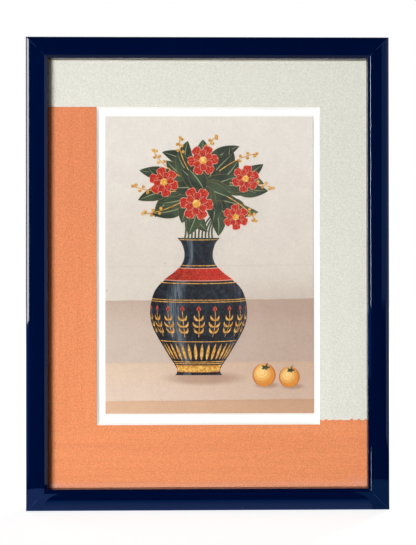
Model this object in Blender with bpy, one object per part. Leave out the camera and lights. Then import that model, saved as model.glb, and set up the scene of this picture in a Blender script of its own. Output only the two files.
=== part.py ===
# Framed picture, 30 x 40 cm: a navy lacquered frame with glass, a window mat painted in two
# colours and a print floated on white board, closed at the back by a board under framer's tabs.
# The picture faces -Y, X runs along its width and Z up its height, from the base. Metres.

import math

import bmesh
import bpy
from mathutils import Matrix, Vector

for leftover in list(bpy.data.objects):
    bpy.data.objects.remove(leftover)

# Fits
GAP = 0.0003                    # between two pieces that touch
PRINT_LAYER_GAP = 0.0002        # between the print's layers
REBATE_PLAY = 0.001             # from the glass to the rebate's wall, on each side
BOARD_UNDERSIZE = 0.0005        # the boards are cut this much smaller than the glass, on each side

# Glass and boards
GLASS_WIDTH = 0.300
GLASS_HEIGHT = 0.400
GLASS_THICKNESS = 0.002
MAT_FACING_THICKNESS = 0.0003
MAT_CORE_THICKNESS = 0.0017
MOUNT_BOARD_THICKNESS = 0.0014
BACKING_THICKNESS = 0.003

# Moulding, seen in section: across from the sight edge, deep from the back to the crown
MOULDING_WIDTH = 0.020
MOULDING_DEPTH = 0.023
REBATE_DEPTH = 0.015
LIP_OVERLAP = 0.005             # how far the lip covers the glass
LIP_CHAMFER_WIDTH = 0.0026
LIP_CHAMFER_DROP = 0.0018
LIP_EDGE_RADIUS = 0.0006
CROWN_RADIUS = 0.040
CROWN_OFFSET = 0.005            # from the sight edge to the highest line of the face
OUTER_RADIUS = 0.0028
BACK_ARRIS = 0.0005
CROWN_FACETS = 9
ROUND_FACETS = 5

# Print: the picture's own size, on a sheet that goes on above and below it
PRINT_WIDTH = 0.1912
PRINT_HEIGHT = 0.2725
PRINT_MARGIN = 0.0017
PRINT_SHEET_THICKNESS = 0.00025
INK_THICKNESS = 0.00015
HINGE_TAPE_WIDTH = 0.026
HINGE_TAPE_HEIGHT = 0.018
HINGE_TAPE_THICKNESS = 0.00015
HINGE_TAPE_INSET = 0.028        # from the sheet's side

# Window in the mat: white board shows all round the picture, and the mat's two colours meet
# level with the window's head on the left and a little above its foot on the right
REVEAL_LEFT = 0.0077
REVEAL_RIGHT = 0.0053
REVEAL_TOP = 0.0083
REVEAL_BOTTOM = 0.0102
WINDOW_SHIFT = 0.0004           # to the right of the frame's middle
WINDOW_RAISE = 0.0070           # above the frame's middle
PALE_FOOT_ABOVE_WINDOW = 0.0041

# Fixings
V_NAIL_LEG = 0.0050
V_NAIL_THICKNESS = 0.0006
V_NAIL_HEIGHT = 0.0080
V_NAIL_ACROSS = (0.0100, 0.0158)    # of the inner and outer nail, from the sight edge
TAB_WIDTH = 0.0080
TAB_THICKNESS = 0.0005
TAB_IN_WOOD = 0.0058
TAB_OVER_BOARD = 0.0100
TAB_POINT = 0.0030
TAB_END_FACETS = 10
SHORT_RAIL_TAB_SPACING = 0.150
LONG_RAIL_TAB_SPACING = 0.130
HANGER_LENGTH = 0.046
HANGER_HEIGHT = 0.009
HANGER_THICKNESS = 0.0008
HANGER_RISE = 0.0016
HANGER_RAMP_START = 0.0150
HANGER_RAMP_END = 0.0120
HANGER_NAIL_SPACING = 0.0385
TOOTH_PITCH = 0.0026
TOOTH_DEPTH = 0.0016
TOOTH_COUNT = 7
NAIL_SHANK_RADIUS = 0.0007
NAIL_HEAD_RADIUS = 0.0018
NAIL_HEAD_THICKNESS = 0.0006
NAIL_LENGTH = 0.0085
BUMPER_RADIUS = 0.0050
BUMPER_INSET = 0.030            # from the frame's side

# Sizes that follow
REBATE_WIDTH = LIP_OVERLAP + REBATE_PLAY
SIGHT_WIDTH = GLASS_WIDTH - 2 * LIP_OVERLAP
SIGHT_HEIGHT = GLASS_HEIGHT - 2 * LIP_OVERLAP
FRAME_WIDTH = SIGHT_WIDTH + 2 * MOULDING_WIDTH
FRAME_HEIGHT = SIGHT_HEIGHT + 2 * MOULDING_WIDTH
BOARD_WIDTH = GLASS_WIDTH - 2 * BOARD_UNDERSIZE
BOARD_HEIGHT = GLASS_HEIGHT - 2 * BOARD_UNDERSIZE
STANDOFF = GAP + HANGER_RISE + HANGER_THICKNESS     # of the hanger and bumpers, off the back
BACK_Y = (MOULDING_DEPTH - STANDOFF) / 2            # the frame's back, with the whole centred on Y
BACK_MIDDLE_ACROSS = (REBATE_WIDTH + MOULDING_WIDTH) / 2
WINDOW_WIDTH = PRINT_WIDTH + REVEAL_LEFT + REVEAL_RIGHT
WINDOW_HEIGHT = PRINT_HEIGHT + REVEAL_TOP + REVEAL_BOTTOM

# Heights of the stack in the rebate, each measured from the frame's back to the sheet's rear face
GLASS_REAR = REBATE_DEPTH - GAP - GLASS_THICKNESS
MAT_FACING_REAR = GLASS_REAR - GAP - MAT_FACING_THICKNESS
MAT_CORE_REAR = MAT_FACING_REAR - GAP - MAT_CORE_THICKNESS
MOUNT_BOARD_REAR = MAT_CORE_REAR - GAP - MOUNT_BOARD_THICKNESS
BACKING_REAR = MOUNT_BOARD_REAR - GAP - BACKING_THICKNESS
TAB_REAR = BACKING_REAR - GAP - TAB_THICKNESS
HINGE_TAPE_REAR = MOUNT_BOARD_REAR + MOUNT_BOARD_THICKNESS + GAP
PRINT_SHEET_REAR = HINGE_TAPE_REAR + HINGE_TAPE_THICKNESS + GAP
FIRST_INK_REAR = PRINT_SHEET_REAR + PRINT_SHEET_THICKNESS + PRINT_LAYER_GAP

# Middles, as (x, z) places on the frame's face
FRAME_MIDDLE = Vector((0, FRAME_HEIGHT / 2))
WINDOW_MIDDLE = FRAME_MIDDLE + Vector((WINDOW_SHIFT, WINDOW_RAISE))
PRINT_MIDDLE = WINDOW_MIDDLE + Vector((REVEAL_LEFT - REVEAL_RIGHT, REVEAL_BOTTOM - REVEAL_TOP)) / 2

# The four sides: name, turn about Y from the top rail, and half the sight size across and along
SIDES = (
    ("top", 0, SIGHT_HEIGHT / 2, SIGHT_WIDTH / 2),
    ("right", 90, SIGHT_WIDTH / 2, SIGHT_HEIGHT / 2),
    ("bottom", 180, SIGHT_HEIGHT / 2, SIGHT_WIDTH / 2),
    ("left", 270, SIGHT_WIDTH / 2, SIGHT_HEIGHT / 2),
)


def finish(name, colour, roughness, metallic=0.0):
    """A plain material: an sRGB colour written as a hex number, its roughness and its metal."""
    channels = [(colour >> shift & 255) / 255 for shift in (16, 8, 0)]
    linear = [c / 12.92 if c <= 0.04045 else ((c + 0.055) / 1.055) ** 2.4 for c in channels]
    material = bpy.data.materials.new(name)
    material.use_nodes = True
    shader = material.node_tree.nodes["Principled BSDF"]
    shader.inputs["Base Color"].default_value = (*linear, 1)
    shader.inputs["Roughness"].default_value = roughness
    shader.inputs["Metallic"].default_value = metallic
    return material


NAVY_LACQUER = finish("navy_lacquer", 0x000E38, 0.12)
CLEAR_GLASS = finish("clear_glass", 0xE8F0EE, 0.03)
PALE_PAINT = finish("pale_paint", 0xE0DED2, 0.85)
ORANGE_PAINT = finish("orange_paint", 0xF0926A, 0.85)
WHITE_BOARD = finish("white_board", 0xF4F3F0, 0.9)
FIBREBOARD = finish("fibreboard", 0x8A6A48, 0.8)
PAPER = finish("paper", 0xEFECE8, 0.8)
LINEN_TAPE = finish("linen_tape", 0xE6E2D6, 0.9)
STEEL = finish("steel", 0x9A9C9E, 0.35, 1.0)
BRASSED_STEEL = finish("brassed_steel", 0xB08A48, 0.35, 1.0)
FELT = finish("felt", 0x3A3A3C, 0.95)
INKS = {
    "wall": finish("ink_wall", 0xEEE5DC, 0.8),
    "dado": finish("ink_dado", 0xD8D2CC, 0.8),
    "table": finish("ink_table", 0xDFC6B2, 0.8),
    "table_edge": finish("ink_table_edge", 0xD2A888, 0.8),
    "navy": finish("ink_navy", 0x20262E, 0.8),
    "leaf": finish("ink_leaf", 0x2C3A38, 0.8),
    "red": finish("ink_red", 0xB02A28, 0.8),
    "gold": finish("ink_gold", 0xD8A850, 0.8),
}


def place(name, mesh_builder, material, location=(0, 0, 0), turn=0):
    """Make one named piece from a filled bmesh, at its place and turned about Y by degrees."""
    mesh = bpy.data.meshes.new(name)
    mesh_builder.to_mesh(mesh)
    mesh_builder.free()
    mesh.materials.append(material)
    piece = bpy.data.objects.new(name, mesh)
    piece.location = location
    piece.rotation_euler = (0, math.radians(turn), 0)
    bpy.context.scene.collection.objects.link(piece)
    return piece


def plate(outline, rear, thickness):
    """A flat solid from an (x, z) outline, its rear face at a height above the frame's back."""
    builder = bmesh.new()
    corners = [builder.verts.new((x, -rear, z)) for x, z in outline]
    face = builder.faces.new(corners)
    grown = bmesh.ops.extrude_face_region(builder, geom=[face])["geom"]
    front = [item for item in grown if isinstance(item, bmesh.types.BMVert)]
    bmesh.ops.translate(builder, verts=front, vec=(0, -thickness, 0))
    bmesh.ops.recalc_face_normals(builder, faces=builder.faces)
    return builder


def rectangle(width, height):
    """An outline about its own middle."""
    x, z = width / 2, height / 2
    return [(-x, -z), (x, -z), (x, z), (-x, z)]


def turned(profile, segments):
    """A solid of revolution about Y from (radius, y) points that start and end on the axis."""
    builder = bmesh.new()
    line = [builder.verts.new((radius, y, 0)) for radius, y in profile]
    edges = [builder.edges.new(pair) for pair in zip(line, line[1:])]
    bmesh.ops.spin(
        builder, geom=line + edges, cent=(0, 0, 0), axis=(0, 1, 0), angle=math.tau, steps=segments
    )
    bmesh.ops.remove_doubles(builder, verts=builder.verts, dist=1e-6)
    bmesh.ops.recalc_face_normals(builder, faces=builder.faces)
    return builder


def shade_round(piece):
    """Smooth shading that keeps the arrises crisp."""
    piece.data.shade_smooth()
    piece.data.set_sharp_from_angle(angle=math.radians(35))


def as_cutter(piece):
    """Keep a piece out of the model: it only cuts others."""
    piece.hide_render = True
    piece.display_type = "WIRE"
    return piece


def cut(target, cutter):
    """Take a cutter's shape out of a piece."""
    boolean = target.modifiers.new(cutter.name, "BOOLEAN")
    boolean.operation = "DIFFERENCE"
    boolean.solver = "EXACT"
    boolean.object = cutter


def crown_height(across):
    """Height of the moulding's cushion face above its back."""
    drop = CROWN_RADIUS - math.sqrt(CROWN_RADIUS**2 - (across - CROWN_OFFSET) ** 2)
    return MOULDING_DEPTH - drop


def rounded_corner(before, corner, after, radius, steps):
    """Points of the arc that rounds a corner between two edges."""
    to_before = (before - corner).normalized()
    to_after = (after - corner).normalized()
    half_angle = to_before.angle(to_after) / 2
    centre = corner + (to_before + to_after).normalized() * radius / math.sin(half_angle)
    first = (corner + to_before * radius / math.tan(half_angle) - centre).normalized()
    last = (corner + to_after * radius / math.tan(half_angle) - centre).normalized()
    return [centre + radius * first.slerp(last, step / steps) for step in range(steps + 1)]


def moulding_section():
    """The moulding's (across, height) outline, from the lip's underside round to the rebate."""
    chamfer_top = crown_height(LIP_CHAMFER_WIDTH)
    shoulder = MOULDING_WIDTH - OUTER_RADIUS
    corners = [
        (0, REBATE_DEPTH, 0),
        (0, chamfer_top - LIP_CHAMFER_DROP, LIP_EDGE_RADIUS),
        (LIP_CHAMFER_WIDTH, chamfer_top, LIP_EDGE_RADIUS),
    ]
    for step in range(1, CROWN_FACETS + 1):
        across = LIP_CHAMFER_WIDTH + (shoulder - LIP_CHAMFER_WIDTH) * step / CROWN_FACETS
        corners.append((across, crown_height(across), 0))
    corners += [
        (MOULDING_WIDTH, crown_height(MOULDING_WIDTH), OUTER_RADIUS),
        (MOULDING_WIDTH, 0, BACK_ARRIS),
        (REBATE_WIDTH, 0, 0),
        (REBATE_WIDTH, REBATE_DEPTH, 0),
    ]
    places = [Vector((across, height)) for across, height, radius in corners]
    section = []
    for index, (across, height, radius) in enumerate(corners):
        if radius:
            before = places[index - 1]
            after = places[(index + 1) % len(places)]
            section += rounded_corner(before, places[index], after, radius, ROUND_FACETS)
        else:
            section.append(places[index])
    return section


def mitred_rail(half_across, half_along):
    """A length of moulding along X with both ends cut at 45 degrees, its outside towards +Z."""
    builder = bmesh.new()
    pull_back = GAP / 2 * math.sqrt(2)
    ends = []
    for end in (-1, 1):
        loop = []
        for across, height in moulding_section():
            x = end * (half_along + across - pull_back)
            loop.append(builder.verts.new((x, -height, half_across + across)))
        ends.append(loop)
    for here, there in zip(*(zip(loop, loop[1:] + loop[:1]) for loop in ends)):
        builder.faces.new((here[0], here[1], there[1], there[0]))
    for loop in ends:
        builder.faces.new(loop)
    bmesh.ops.recalc_face_normals(builder, faces=builder.faces)
    return builder


# Rails
RAILS = {}
RAIL_ORIGIN = (0, BACK_Y, FRAME_HEIGHT / 2)
for side, turn, half_across, half_along in SIDES:
    rail = place(
        f"frame_rail_{side}", mitred_rail(half_across, half_along), NAVY_LACQUER, RAIL_ORIGIN, turn
    )
    shade_round(rail)
    RAILS[side] = rail


def v_nail(clearance):
    """A corner nail about its apex: two legs at a right angle, driven in from the back."""
    half = V_NAIL_THICKNESS / 2 + clearance
    leg = V_NAIL_LEG + clearance
    outline = [(half, half), (-leg, half), (-leg, -half), (-half, -half), (-half, -leg), (half, -leg)]
    return plate(outline, -clearance, V_NAIL_HEIGHT + 2 * clearance)


# Two V-nails in the back of each mitre, each across both rails
CORNERS = (
    ("top_right", 1, 1, 0, ("top", "right")),
    ("bottom_right", 1, -1, 90, ("right", "bottom")),
    ("bottom_left", -1, -1, 180, ("bottom", "left")),
    ("top_left", -1, 1, 270, ("left", "top")),
)
for corner, x_side, z_side, turn, meeting in CORNERS:
    for row, across in zip(("inner", "outer"), V_NAIL_ACROSS):
        location = (
            x_side * (SIGHT_WIDTH / 2 + across),
            BACK_Y,
            FRAME_HEIGHT / 2 + z_side * (SIGHT_HEIGHT / 2 + across),
        )
        name = f"v_nail_{corner}_{row}"
        place(name, v_nail(0), STEEL, location, turn)
        slot = as_cutter(place(f"slot_{name}", v_nail(GAP), STEEL, location, turn))
        for side in meeting:
            cut(RAILS[side], slot)


def sheet(name, outline, rear, thickness, material, middle):
    """A flat piece about a middle on the frame's face."""
    location = (middle[0], BACK_Y, middle[1])
    return place(name, plate(outline, rear, thickness), material, location)


# Glass, under the lip
sheet(
    "glazing", rectangle(GLASS_WIDTH, GLASS_HEIGHT), GLASS_REAR, GLASS_THICKNESS, CLEAR_GLASS,
    FRAME_MIDDLE,
)


def window_mat():
    """The mat's white core: a board whose window is cut with a 45 degree bevel."""
    builder = bmesh.new()
    front = -(MAT_CORE_REAR + MAT_CORE_THICKNESS)
    rear = -MAT_CORE_REAR
    board = rectangle(BOARD_WIDTH, BOARD_HEIGHT)
    window = rectangle(WINDOW_WIDTH, WINDOW_HEIGHT)
    narrow = 2 * MAT_CORE_THICKNESS
    window_foot = rectangle(WINDOW_WIDTH - narrow, WINDOW_HEIGHT - narrow)
    loops = []
    for outline, y, middle in (
        (board, rear, FRAME_MIDDLE),
        (board, front, FRAME_MIDDLE),
        (window, front, WINDOW_MIDDLE),
        (window_foot, rear, WINDOW_MIDDLE),
    ):
        loops.append([builder.verts.new((x + middle[0], y, z + middle[1])) for x, z in outline])
    for loop, following in zip(loops, loops[1:] + loops[:1]):
        for corner in range(4):
            after = (corner + 1) % 4
            builder.faces.new((loop[corner], loop[after], following[after], following[corner]))
    bmesh.ops.recalc_face_normals(builder, faces=builder.faces)
    return builder


# Window mat: the core, then its facing in two L-shaped fields of paint
place("mat_core", window_mat(), WHITE_BOARD, (0, BACK_Y, 0))

board_x = BOARD_WIDTH / 2
board_z = BOARD_HEIGHT / 2
window_left = WINDOW_SHIFT - WINDOW_WIDTH / 2
window_right = WINDOW_SHIFT + WINDOW_WIDTH / 2
window_top = WINDOW_RAISE + WINDOW_HEIGHT / 2
window_foot = WINDOW_RAISE - WINDOW_HEIGHT / 2
pale_foot = window_foot + PALE_FOOT_ABOVE_WINDOW
pale_outline = [
    (-board_x, board_z),
    (-board_x, window_top),
    (window_right, window_top),
    (window_right, pale_foot),
    (board_x, pale_foot),
    (board_x, board_z),
]
orange_outline = [
    (-board_x, window_top - GAP),
    (-board_x, -board_z),
    (board_x, -board_z),
    (board_x, pale_foot - GAP),
    (window_right, pale_foot - GAP),
    (window_right, window_foot),
    (window_left, window_foot),
    (window_left, window_top - GAP),
]
for name, outline, paint in (
    ("mat_facing_pale", pale_outline, PALE_PAINT),
    ("mat_facing_orange", orange_outline, ORANGE_PAINT),
):
    sheet(name, outline, MAT_FACING_REAR, MAT_FACING_THICKNESS, paint, FRAME_MIDDLE)

# Mount board behind the window, and the backing board
for name, rear, thickness, material in (
    ("mount_board", MOUNT_BOARD_REAR, MOUNT_BOARD_THICKNESS, WHITE_BOARD),
    ("backing_board", BACKING_REAR, BACKING_THICKNESS, FIBREBOARD),
):
    sheet(name, rectangle(BOARD_WIDTH, BOARD_HEIGHT), rear, thickness, material, FRAME_MIDDLE)

# Print: one sheet, held to the mount board by two tapes behind its head
sheet_height = PRINT_HEIGHT + 2 * PRINT_MARGIN
sheet(
    "print_sheet", rectangle(PRINT_WIDTH, sheet_height), PRINT_SHEET_REAR, PRINT_SHEET_THICKNESS,
    PAPER, PRINT_MIDDLE,
)
tape_x = (PRINT_WIDTH - HINGE_TAPE_WIDTH) / 2 - HINGE_TAPE_INSET
tape_z = (sheet_height - HINGE_TAPE_HEIGHT) / 2
for side, x_side in (("left", -1), ("right", 1)):
    middle = PRINT_MIDDLE + Vector((x_side * tape_x, tape_z))
    sheet(
        f"hinge_tape_{side}", rectangle(HINGE_TAPE_WIDTH, HINGE_TAPE_HEIGHT), HINGE_TAPE_REAR,
        HINGE_TAPE_THICKNESS, LINEN_TAPE, middle,
    )

# The picture: a still life in flat fields of colour. It is drawn in thousandths of its height,
# from the middle of its foot, and so it is printed larger or smaller with the sheet.
PICTURE_UNIT = PRINT_HEIGHT / 1000
PICTURE_GAP = GAP / PICTURE_UNIT
PICTURE_TOP = 1000
DADO_TOP = 383
TABLE_TOP = 173
TABLE_EDGE_TOP = 45
VASE_X = -37
VASE_FOOT = 129
VASE_PROFILE = (
    (0, 79),
    (22, 73),
    (81, 110),
    (183, 161),
    (286, 147),
    (352, 73),
    (396, 48),
    (440, 55),
    (462, 72),
)
VASE_BANDS = (("foot", "gold", 9, 33), ("collar", "red", 316, 360))
BAND_INSET = 4
BAND_FACETS = 4
SPRAY_X = -22
SPRAY_WIDTH = 462
SPRAY_HEIGHT = 345
SPRAY_Z = VASE_FOOT + VASE_PROFILE[-1][0] + PICTURE_GAP + SPRAY_HEIGHT / 2
SPRAY_LOBES = 13
SPRAY_LOBE_FACETS = 8
SPRAY_NOTCH = 0.26
BLOSSOM_PETALS = 6
BLOSSOM_FACETS = 48
PETAL_NOTCH = 0.16
BLOSSOMS = (
    (-22, 852, 57),
    (-154, 779, 55),
    (121, 790, 51),
    (-44, 706, 62),
    (88, 661, 48),
)
BLOSSOM_CENTRE_SHARE = 0.30
ROUND_INK_FACETS = 28
FRUITS = ((183, 129, 39), (268, 122, 35))


def smooth_profile(points, steps):
    """A Catmull-Rom curve through (height, half width) points."""
    padded = [points[0], *points, points[-1]]
    curve = []
    for before, start, end, after in zip(padded, padded[1:], padded[2:], padded[3:]):
        before, start, end, after = (Vector(point) for point in (before, start, end, after))
        for step in range(steps):
            t = step / steps
            blend = (
                2 * start
                + (end - before) * t
                + (2 * before - 5 * start + 4 * end - after) * t**2
                + (3 * start - before - 3 * end + after) * t**3
            )
            curve.append(blend / 2)
    curve.append(Vector(points[-1]))
    return curve


def half_width_at(curve, height):
    """Half width of a (height, half width) curve at one height."""
    for low, high in zip(curve, curve[1:]):
        if low[0] <= height <= high[0]:
            share = (height - low[0]) / (high[0] - low[0])
            return low[1] + (high[1] - low[1]) * share
    return curve[-1][1]


def mirrored_outline(curve):
    """A symmetric (x, z) outline from (height, half width) points, foot first."""
    right = [(width, height) for height, width in curve]
    left = [(-width, height) for height, width in reversed(curve)]
    return right + left


def rosette(radius, lobes, depth, segments):
    """A round outline with a scalloped edge."""
    outline = []
    for step in range(segments):
        angle = math.tau * step / segments
        reach = radius * (1 - depth * (1 - abs(math.cos(lobes * angle / 2))))
        outline.append((reach * math.cos(angle), reach * math.sin(angle)))
    return outline


def spray():
    """The leaves' mass as one pointed oval star, with a lobe straight down to the vase's mouth."""
    outline = []
    steps = SPRAY_LOBES * SPRAY_LOBE_FACETS
    for step in range(steps):
        turn = math.tau * step / steps
        point = 1 - abs(math.sin(SPRAY_LOBES * turn / 2))
        reach = 1 - SPRAY_NOTCH * (1 - point**0.8)
        outline.append(
            (SPRAY_WIDTH / 2 * reach * math.sin(turn), -SPRAY_HEIGHT / 2 * reach * math.cos(turn))
        )
    return outline


def ink(name, outline, layer, colour, x=0, z=0):
    """A field of colour on the print, in the given layer from the paper up."""
    rear = FIRST_INK_REAR + layer * (INK_THICKNESS + PRINT_LAYER_GAP)
    printed = [(PICTURE_UNIT * x, PICTURE_UNIT * z) for x, z in outline]
    middle = PRINT_MIDDLE + PICTURE_UNIT * Vector((x, z - PICTURE_TOP / 2))
    sheet(f"print_{name}", printed, rear, INK_THICKNESS, INKS[colour], middle)


GROUND_BANDS = (
    ("wall", DADO_TOP, PICTURE_TOP),
    ("dado", TABLE_TOP, DADO_TOP - PICTURE_GAP),
    ("table", TABLE_EDGE_TOP, TABLE_TOP - PICTURE_GAP),
    ("table_edge", 0, TABLE_EDGE_TOP - PICTURE_GAP),
)
for band, low, high in GROUND_BANDS:
    ground = rectangle(PRINT_WIDTH / PICTURE_UNIT, high - low)
    ink(band, ground, 0, band, 0, (low + high) / 2)

vase_curve = smooth_profile(VASE_PROFILE, 4)
ink("vase", mirrored_outline(vase_curve), 1, "navy", VASE_X, VASE_FOOT)
for band, colour, low, high in VASE_BANDS:
    heights = [low + (high - low) * step / BAND_FACETS for step in range(BAND_FACETS + 1)]
    band_curve = [(height, half_width_at(vase_curve, height) - BAND_INSET) for height in heights]
    ink(f"vase_{band}", mirrored_outline(band_curve), 2, colour, VASE_X, VASE_FOOT)
ink("leaves", spray(), 1, "leaf", SPRAY_X, SPRAY_Z)
for number, (x, z, radius) in enumerate(BLOSSOMS, 1):
    petals = rosette(radius, BLOSSOM_PETALS, PETAL_NOTCH, BLOSSOM_FACETS)
    ink(f"blossom_{number}", petals, 2, "red", x, z)
    centre = rosette(radius * BLOSSOM_CENTRE_SHARE, 1, 0, ROUND_INK_FACETS)
    ink(f"blossom_centre_{number}", centre, 3, "gold", x, z)
for number, (x, z, radius) in enumerate(FRUITS, 1):
    ink(f"fruit_{number}", rosette(radius, 1, 0, ROUND_INK_FACETS), 1, "gold", x, z)


def framers_tab(clearance):
    """A flat steel point lying over the backing board, its tip in the rebate's wall."""
    half = TAB_WIDTH / 2 + clearance
    tip = TAB_IN_WOOD + clearance
    outline = [(0, tip), (-half, tip - TAB_POINT)]
    for step in range(TAB_END_FACETS + 1):
        angle = math.pi * (1 + step / TAB_END_FACETS)
        outline.append((half * math.cos(angle), half - TAB_OVER_BOARD + half * math.sin(angle)))
    outline.append((half, tip - TAB_POINT))
    return plate(outline, TAB_REAR - clearance, TAB_THICKNESS + 2 * clearance)


# Framer's tabs: two along each short rail and three along each long one
TAB_PLACES = {"top": (-0.5, 0.5), "bottom": (-0.5, 0.5), "left": (-1, 0, 1), "right": (-1, 0, 1)}
for side, turn, half_across, half_along in SIDES:
    spacing = SHORT_RAIL_TAB_SPACING if len(TAB_PLACES[side]) == 2 else LONG_RAIL_TAB_SPACING
    for number, share in enumerate(TAB_PLACES[side], 1):
        along = Vector((share * spacing, 0, half_across + REBATE_WIDTH))
        along.rotate(Matrix.Rotation(math.radians(turn), 3, "Y"))
        location = Vector(RAIL_ORIGIN) + along
        name = f"framers_tab_{side}_{number}"
        place(name, framers_tab(0), STEEL, location, turn)
        slot = as_cutter(place(f"slot_{name}", framers_tab(GAP), STEEL, location, turn))
        cut(RAILS[side], slot)


def hanger_strip():
    """The hanger before its teeth are cut: a strip whose middle is raised off the wood."""
    half = HANGER_LENGTH / 2
    wood_side = [
        (half, 0),
        (HANGER_RAMP_START, 0),
        (HANGER_RAMP_END, HANGER_RISE),
        (-HANGER_RAMP_END, HANGER_RISE),
        (-HANGER_RAMP_START, 0),
        (-half, 0),
    ]
    wall_side = [(x, y + HANGER_THICKNESS) for x, y in reversed(wood_side)]
    builder = bmesh.new()
    corners = [builder.verts.new((x, y, -HANGER_HEIGHT / 2)) for x, y in wood_side + wall_side]
    grown = bmesh.ops.extrude_face_region(builder, geom=[builder.faces.new(corners)])["geom"]
    top = [item for item in grown if isinstance(item, bmesh.types.BMVert)]
    bmesh.ops.translate(builder, verts=top, vec=(0, 0, HANGER_HEIGHT))
    bmesh.ops.recalc_face_normals(builder, faces=builder.faces)
    return builder


def saw_teeth():
    """Notches along the hanger's lower edge, as one saw-edged block."""
    half = TOOTH_COUNT * TOOTH_PITCH / 2
    below = -HANGER_HEIGHT
    edge = -HANGER_HEIGHT / 2 - GAP
    outline = [(half, below), (-half, below), (-half, edge)]
    for tooth in range(TOOTH_COUNT):
        left = -half + tooth * TOOTH_PITCH
        outline.append((left + TOOTH_PITCH / 2, edge + TOOTH_DEPTH))
        outline.append((left + TOOTH_PITCH, edge))
    return plate(outline, -2 * STANDOFF, 2 * STANDOFF)


# Sawtooth hanger on the back of the top rail, with a round-headed nail at each end
hanger_z = FRAME_HEIGHT / 2 + SIGHT_HEIGHT / 2 + BACK_MIDDLE_ACROSS
hanger_place = (0, BACK_Y + GAP, hanger_z)
hanger = place("sawtooth_hanger", hanger_strip(), BRASSED_STEEL, hanger_place)
teeth = as_cutter(place("cut_saw_teeth", saw_teeth(), STEEL, hanger_place))
cut(hanger, teeth)

HEAD_Y = 2 * GAP + HANGER_THICKNESS     # underside of the nail heads, off the frame's back


def nail():
    """A pin with a flat round head towards the wall and a short point in the wood."""
    tip = HEAD_Y - NAIL_LENGTH
    return turned(
        [
            (0, tip),
            (NAIL_SHANK_RADIUS, tip + 2 * NAIL_SHANK_RADIUS),
            (NAIL_SHANK_RADIUS, HEAD_Y),
            (NAIL_HEAD_RADIUS, HEAD_Y),
            (NAIL_HEAD_RADIUS, HEAD_Y + NAIL_HEAD_THICKNESS / 2),
            (0, HEAD_Y + NAIL_HEAD_THICKNESS),
        ],
        20,
    )


def pilot_hole():
    """Room for a nail's shank, through the hanger and into the rail."""
    radius = NAIL_SHANK_RADIUS + GAP
    foot = HEAD_Y - NAIL_LENGTH - GAP
    return turned([(0, foot), (radius, foot), (radius, STANDOFF), (0, STANDOFF)], 20)


for side, x_side in (("left", -1), ("right", 1)):
    location = (x_side * HANGER_NAIL_SPACING / 2, BACK_Y, hanger_z)
    shade_round(place(f"hanger_nail_{side}", nail(), BRASSED_STEEL, location))
    hole = as_cutter(place(f"pilot_hole_{side}", pilot_hole(), STEEL, location))
    cut(hanger, hole)
    cut(RAILS["top"], hole)


def bumper():
    """A low felt dot that keeps the frame off the wall."""
    height = STANDOFF - GAP
    edge = height / 4
    return turned(
        [(0, 0), (BUMPER_RADIUS, 0), (BUMPER_RADIUS, height - edge),
         (BUMPER_RADIUS - edge, height), (0, height)],
        32,
    )


bumper_z = FRAME_HEIGHT / 2 - SIGHT_HEIGHT / 2 - BACK_MIDDLE_ACROSS
for side, x_side in (("left", -1), ("right", 1)):
    location = (x_side * (FRAME_WIDTH / 2 - BUMPER_INSET), BACK_Y + GAP, bumper_z)
    shade_round(place(f"wall_bumper_{side}", bumper(), FELT, location))
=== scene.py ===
import math

import bpy
from mathutils import Matrix, Vector, noise


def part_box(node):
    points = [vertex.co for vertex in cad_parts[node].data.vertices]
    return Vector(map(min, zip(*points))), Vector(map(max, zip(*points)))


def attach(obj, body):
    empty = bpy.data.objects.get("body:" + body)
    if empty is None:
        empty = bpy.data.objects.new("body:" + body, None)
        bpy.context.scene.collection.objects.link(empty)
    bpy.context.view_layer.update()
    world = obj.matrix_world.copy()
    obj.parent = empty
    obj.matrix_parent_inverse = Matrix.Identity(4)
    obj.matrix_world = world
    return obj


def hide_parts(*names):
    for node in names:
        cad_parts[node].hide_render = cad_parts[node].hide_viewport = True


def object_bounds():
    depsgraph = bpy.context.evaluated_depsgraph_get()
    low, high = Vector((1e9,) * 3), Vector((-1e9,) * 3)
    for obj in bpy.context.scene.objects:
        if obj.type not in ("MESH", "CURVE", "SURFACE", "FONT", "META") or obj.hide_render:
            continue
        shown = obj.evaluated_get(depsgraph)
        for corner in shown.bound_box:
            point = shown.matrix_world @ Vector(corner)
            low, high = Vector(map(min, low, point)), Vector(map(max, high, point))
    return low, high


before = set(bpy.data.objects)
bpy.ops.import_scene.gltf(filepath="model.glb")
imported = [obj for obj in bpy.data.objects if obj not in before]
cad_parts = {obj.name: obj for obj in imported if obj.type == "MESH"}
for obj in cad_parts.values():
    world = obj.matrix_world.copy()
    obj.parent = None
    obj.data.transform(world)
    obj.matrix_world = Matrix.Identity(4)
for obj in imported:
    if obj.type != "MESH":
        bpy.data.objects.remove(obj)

cad_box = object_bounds()
bpy.ops.object.select_all(action="DESELECT")

# Camera, level with the frame's middle and straight in front of it. The small turn, tilt and shift
# are what the corners of the frame, of the window and of the print give in the photograph.
CAMERA_PLACE = (-0.0057, -0.8, 0.2082)
CAMERA_YAW = math.radians(-0.738)
CAMERA_PITCH = math.radians(0.173)
CAMERA_ROLL = math.radians(-0.072)
CAMERA_LENS = 57.56
CAMERA_SHIFT = (-0.009, 0.0107)

bpy.ops.object.camera_add(location=CAMERA_PLACE)
camera = bpy.context.object
camera.name = "camera"
turn = Matrix.Rotation(CAMERA_YAW, 4, "Z") @ Matrix.Rotation(math.pi / 2 + CAMERA_PITCH, 4, "X")
camera.rotation_euler = (turn @ Matrix.Rotation(CAMERA_ROLL, 4, "Z")).to_euler()
camera.data.lens = CAMERA_LENS
camera.data.shift_x, camera.data.shift_y = CAMERA_SHIFT
bpy.context.scene.camera = camera
bpy.context.scene.view_settings.view_transform = "Standard"

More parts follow.
